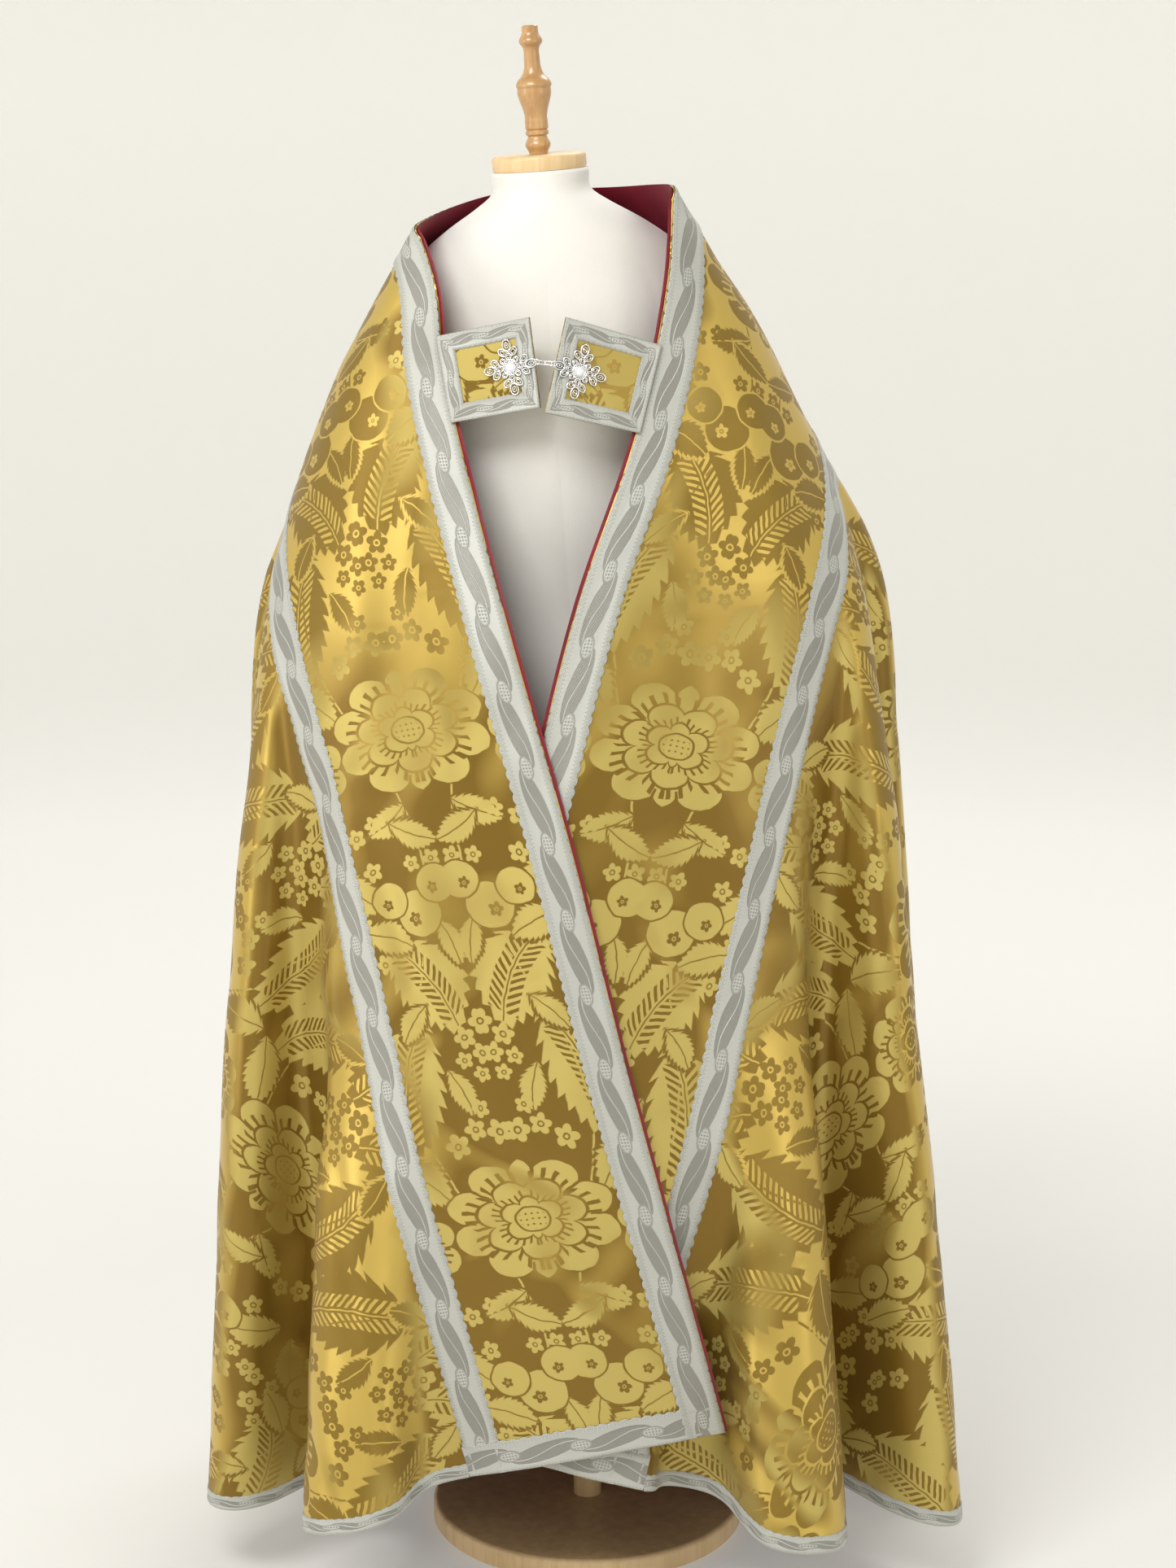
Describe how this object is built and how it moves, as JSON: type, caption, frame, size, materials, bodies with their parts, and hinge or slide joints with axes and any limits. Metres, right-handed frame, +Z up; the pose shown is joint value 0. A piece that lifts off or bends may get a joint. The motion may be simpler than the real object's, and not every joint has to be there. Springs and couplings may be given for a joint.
{
  "type": "cope vestment on a dress form",
  "caption": "Half-round damask cloak with wide front bands, lace borders and a clasped tab at the neck, hanging in deep folds on a limbless dress form.",
  "frame": {"origin": "middle of the underside of the round base", "axes": "+Z up along the pole; the open front of the cope faces -Y; +X is the viewer's right in the picture"},
  "size_m": [0.8312, 0.7675, 1.6979],
  "materials": {
    "gold_damask": "satin damask",
    "silver_galloon": "woven braid",
    "crimson_lining": "dark satin",
    "silver_filigree": "silver",
    "white_jersey": "matt jersey",
    "varnished_beech": "varnished",
    "pale_wood": "satin varnish"
  },
  "bodies": {
    "root": {"cope_body_left": "gold_damask", "cope_body_right": "gold_damask", "orphrey_left": "gold_damask", "orphrey_right": "gold_damask", "morse_left": "gold_damask", "morse_right": "gold_damask", "galloon_hem": "silver_galloon", "galloon_hem_left": "silver_galloon", "galloon_hem_right": "silver_galloon", "galloon_edge_left": "silver_galloon", "galloon_edge_right": "silver_galloon", "galloon_seam_left": "silver_galloon", "galloon_seam_right": "silver_galloon", "morse_frame_left": "silver_galloon", "morse_frame_right": "silver_galloon", "lining_left": "crimson_lining", "lining_right": "crimson_lining", "clasp_left": "silver_filigree", "clasp_right": "silver_filigree", "clasp_hook": "silver_filigree", "form_torso": "white_jersey", "finial": "varnished_beech", "neck_cap": "pale_wood", "pole": "pale_wood", "base": "pale_wood"}
  },
  "joints": []
}
